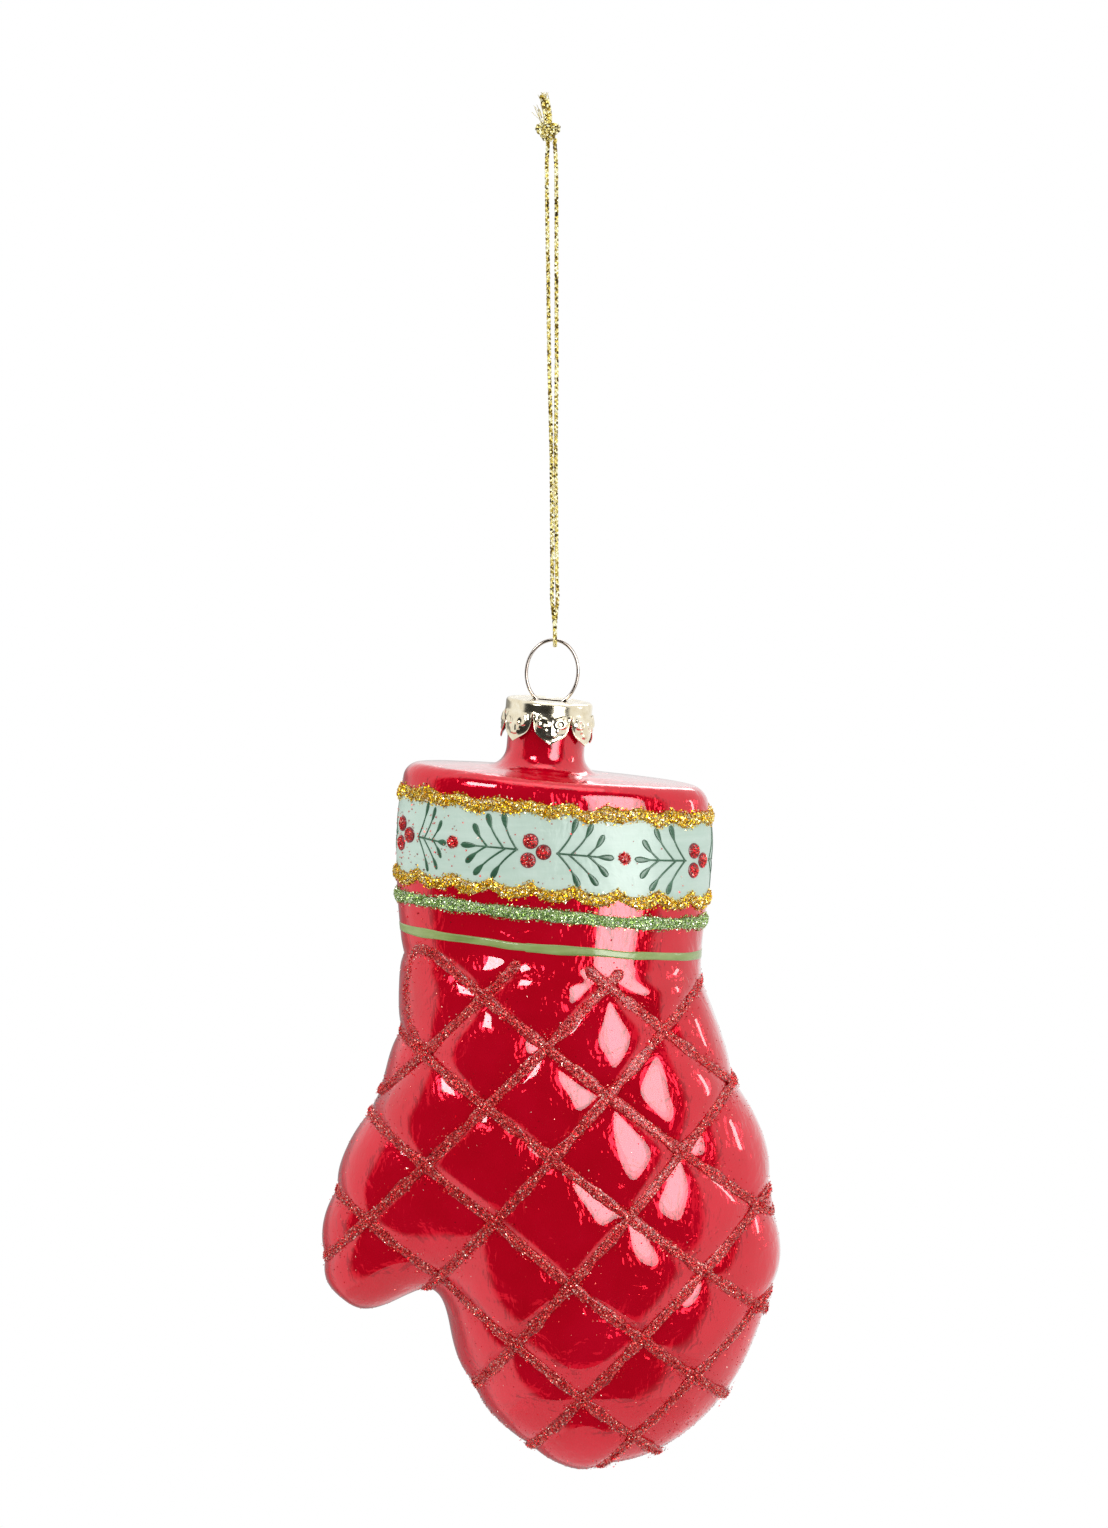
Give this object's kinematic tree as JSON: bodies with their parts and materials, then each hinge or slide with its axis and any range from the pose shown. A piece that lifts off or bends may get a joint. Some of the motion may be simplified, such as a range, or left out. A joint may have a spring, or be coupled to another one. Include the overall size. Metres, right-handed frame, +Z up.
{
  "type": "hanging glass ornament",
  "caption": "Blown-glass ornament shaped like a quilted oven mitt, hung by a crown cap, wire hanger and gold cord.",
  "frame": {"origin": "inside top of the hanging cord's loop, right under the knot, where a hook or a branch carries the ornament", "axes": "+Z up along the cord; -Y towards the viewer, facing the palm side of the mitt; +X away from the thumb"},
  "size_m": [0.0693, 0.035, 0.2077],
  "materials": {
    "gold_cord": "metallic gold braid",
    "hanger_wire": "drawn wire, pale gold wash",
    "champagne_cap": "pressed thin sheet, pale champagne gold, shiny",
    "red_glass": "blown glass, silvered and lacquered metallic red, glossy",
    "gold_glitter": "coarse gold glitter in clear glue",
    "green_glitter": "fine green glitter in clear glue"
  },
  "bodies": {
    "cord": {"hanging_cord": "gold_cord", "cord_knot": "gold_cord", "cord_tail": "gold_cord"},
    "hanger": {"wire_hanger": "hanger_wire"},
    "cap": {"crown_cap": "champagne_cap"},
    "mitt": {"glass_shell": "red_glass", "gold_glitter_upper": "gold_glitter", "gold_glitter_lower": "gold_glitter", "green_glitter_band": "green_glitter"}
  },
  "joints": [
    {"name": "swing", "type": "hinge", "parent": "cord", "child": "hanger", "pos_m": [0.00055, 0, -0.0745], "axis": [1, 0, 0], "range_deg": [-70, 70]},
    {"name": "hanger_draw", "type": "slide", "parent": "hanger", "child": "cap", "axis": [-0.0872, 0, -0.9962], "range_m": [0, 0.002]},
    {"name": "cap_off", "type": "slide", "parent": "cap", "child": "mitt", "axis": [-0.0872, 0, -0.9962], "range_m": [0, 0.022]}
  ]
}
